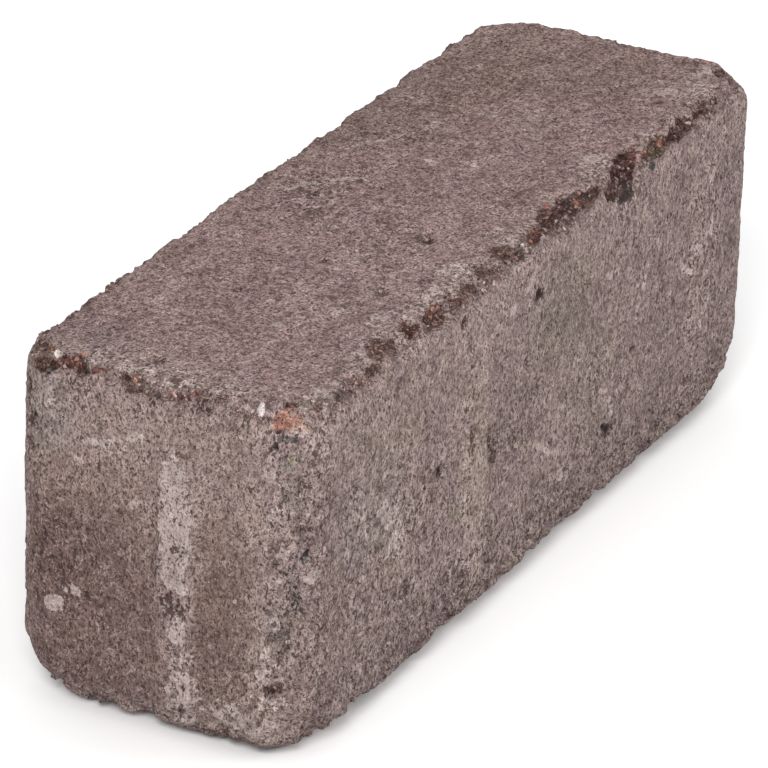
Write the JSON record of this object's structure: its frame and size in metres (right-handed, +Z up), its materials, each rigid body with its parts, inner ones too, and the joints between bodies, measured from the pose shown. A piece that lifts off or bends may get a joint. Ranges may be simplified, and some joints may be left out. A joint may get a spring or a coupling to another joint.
{
  "type": "tumbled brick",
  "caption": "Rectangular concrete paving brick with rounded, battered edges and low vertical spacer ribs, laid in rows as paving or edging.",
  "frame": {"origin": "middle of the bed face, on the plane that the brick lies on", "axes": "+X along the length, +Y across the width, +Z up towards the wearing face"},
  "size_m": [0.21, 0.07, 0.078],
  "materials": {
    "concrete": "rough, matt, porous brown-grey concrete"
  },
  "bodies": {
    "root": {"tumbled_brick": "concrete"}
  },
  "joints": []
}
